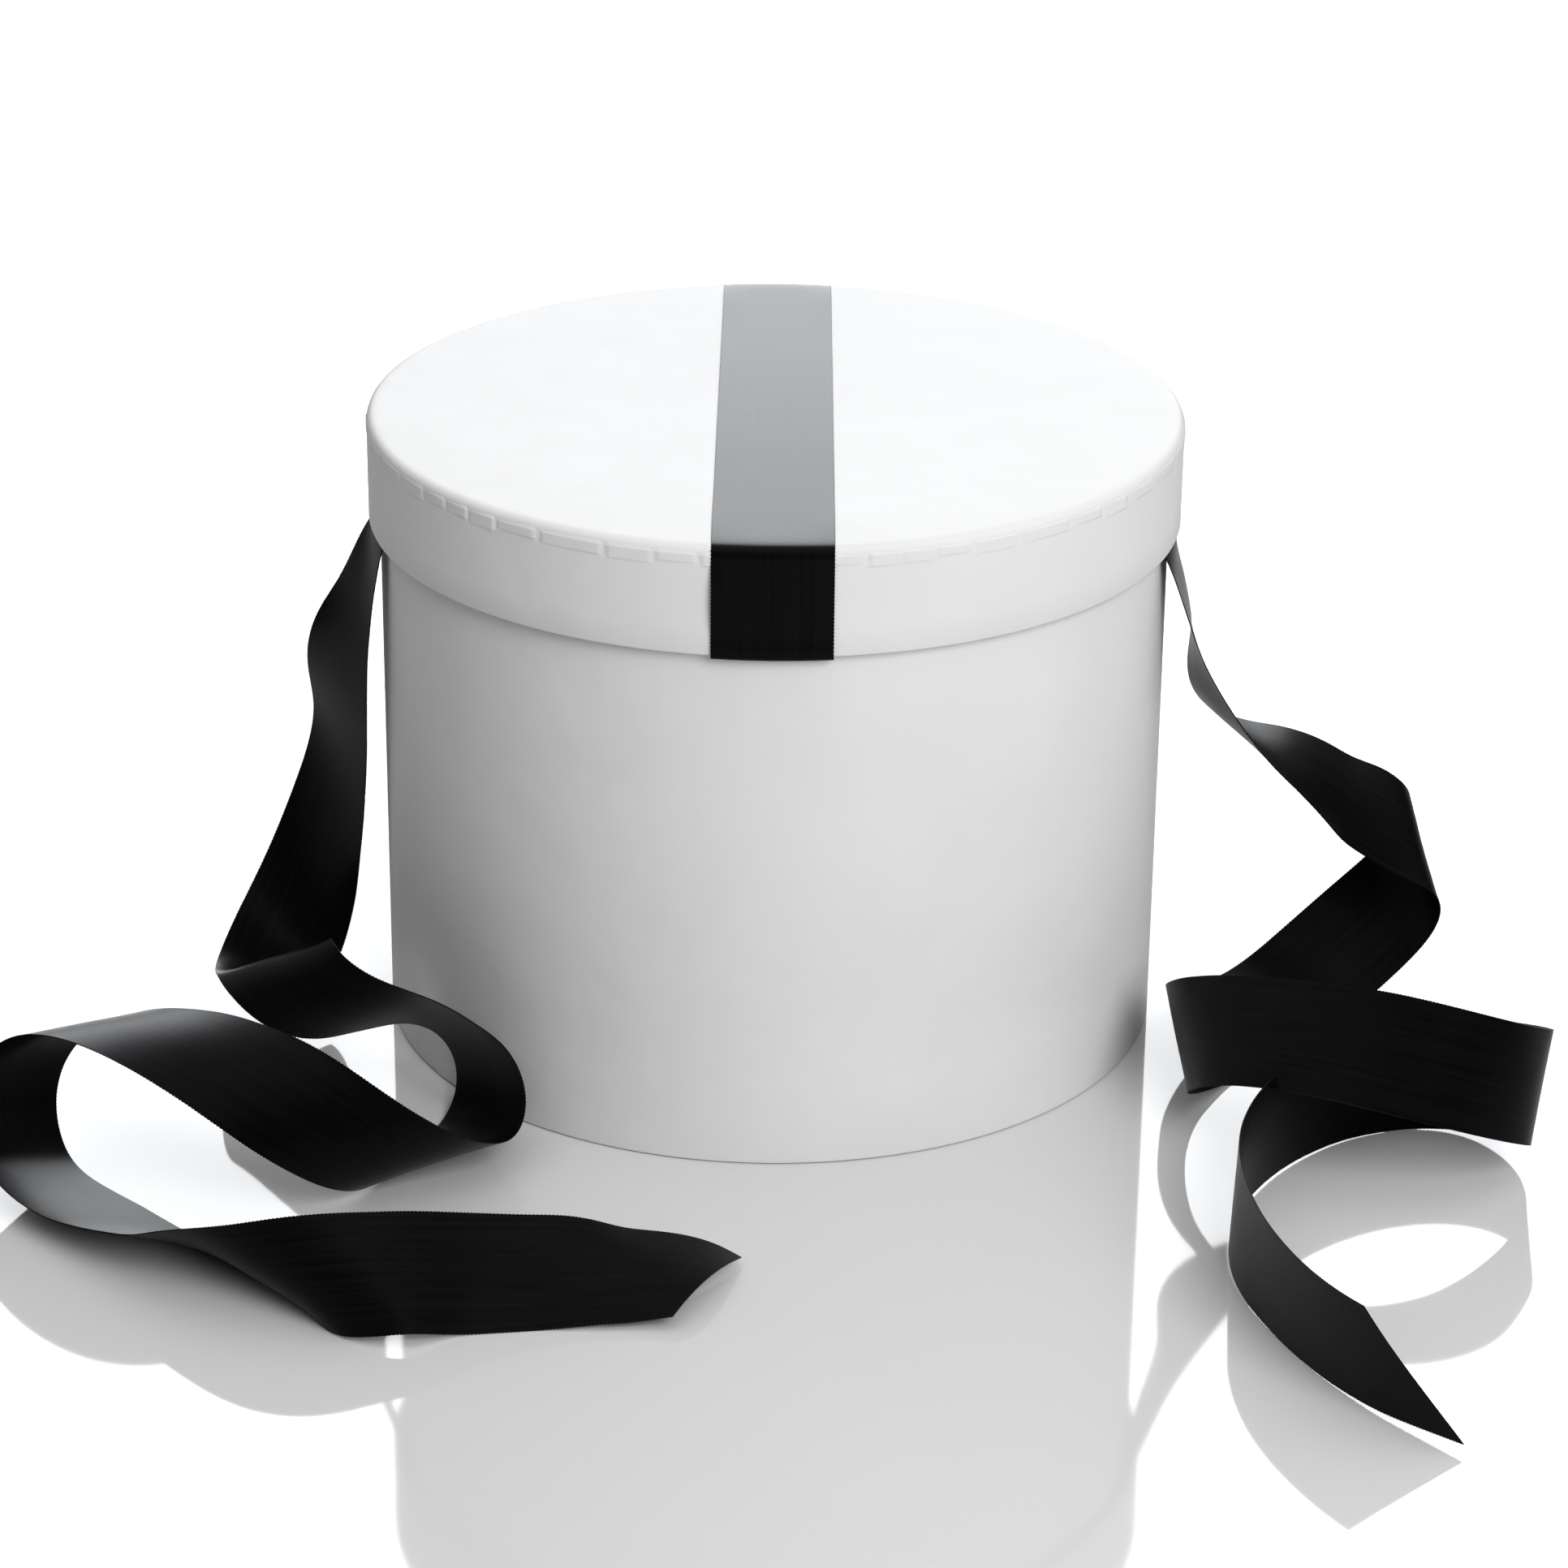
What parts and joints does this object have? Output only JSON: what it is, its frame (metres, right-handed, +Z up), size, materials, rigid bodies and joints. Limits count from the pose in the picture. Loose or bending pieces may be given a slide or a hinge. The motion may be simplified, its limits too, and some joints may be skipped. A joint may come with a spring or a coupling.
{
  "type": "hat box",
  "caption": "Round paper-covered cardboard hat box with a shallow lift-off lid, a satin ribbon across the lid and loose satin tie ribbons at the sides.",
  "frame": {"origin": "centre of the base's underside, on the box's axis", "axes": "+Z up along the box's axis, -Y the front, the lid ribbon runs along Y, the ties leave the wall at -X and +X"},
  "size_m": [0.5093, 0.4415, 0.2154],
  "materials": {
    "white_paper": "smooth white cover paper, faint satin",
    "lining_paper": "plain matt white lining paper",
    "grey_board": "plain grey chipboard",
    "black_satin": "woven single-face satin with narrow selvedges"
  },
  "bodies": {
    "body": {"body_tube": "grey_board", "base_disc": "grey_board", "body_wrap": "white_paper", "base_cover": "white_paper", "body_lining": "lining_paper", "base_lining": "lining_paper", "left_tie_patch": "lining_paper", "right_tie_patch": "lining_paper", "left_tie_ribbon": "black_satin", "right_tie_ribbon": "black_satin"},
    "lid": {"lid_disc": "grey_board", "lid_hoop": "grey_board", "lid_top_paper": "white_paper", "lid_rim_wrap": "white_paper", "lid_hoop_lining": "lining_paper", "lid_lining": "lining_paper", "lid_ribbon": "black_satin"}
  },
  "joints": [
    {"name": "lid_lift", "type": "slide", "parent": "body", "child": "lid", "axis": [0, 0, 1], "range_m": [0, 0.15]}
  ]
}
